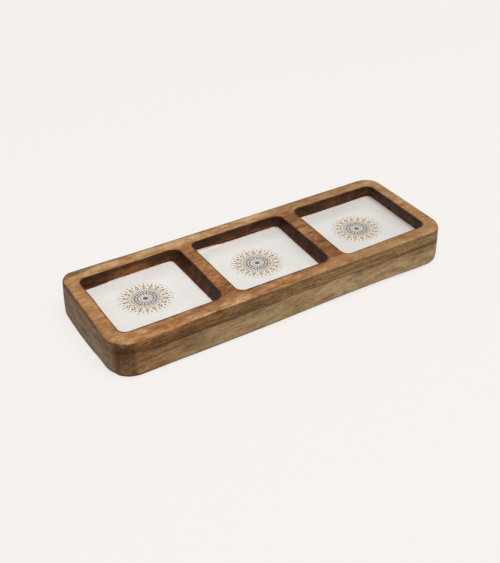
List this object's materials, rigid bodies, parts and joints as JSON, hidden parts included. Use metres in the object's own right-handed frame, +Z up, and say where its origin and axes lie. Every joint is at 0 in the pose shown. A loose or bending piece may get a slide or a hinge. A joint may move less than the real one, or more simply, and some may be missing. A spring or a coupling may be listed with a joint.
{
  "type": "wooden centerpiece tray",
  "caption": "Long low tray of glued wooden boards with rounded corners and a row of square pockets whose floors are white enamel, for small bowls, candles or snacks on a table.",
  "frame": {"origin": "centre of the underside, on the surface the tray stands on", "axes": "+X along the row of pockets, +Y from the front long side to the back one, +Z up out of the pockets"},
  "size_m": [0.38, 0.137, 0.041],
  "materials": {
    "frame_wood": "satin oiled",
    "base_wood": "satin oiled",
    "dried_glue": "matte",
    "white_enamel": "gloss",
    "clear_coat": "clear gloss"
  },
  "bodies": {
    "root": {"base_board": "base_wood", "glue_film": "dried_glue", "frame_board": "frame_wood", "enamel_left": "white_enamel", "enamel_centre": "white_enamel", "enamel_right": "white_enamel", "clear_coat_left": "clear_coat", "clear_coat_centre": "clear_coat", "clear_coat_right": "clear_coat"}
  },
  "joints": []
}
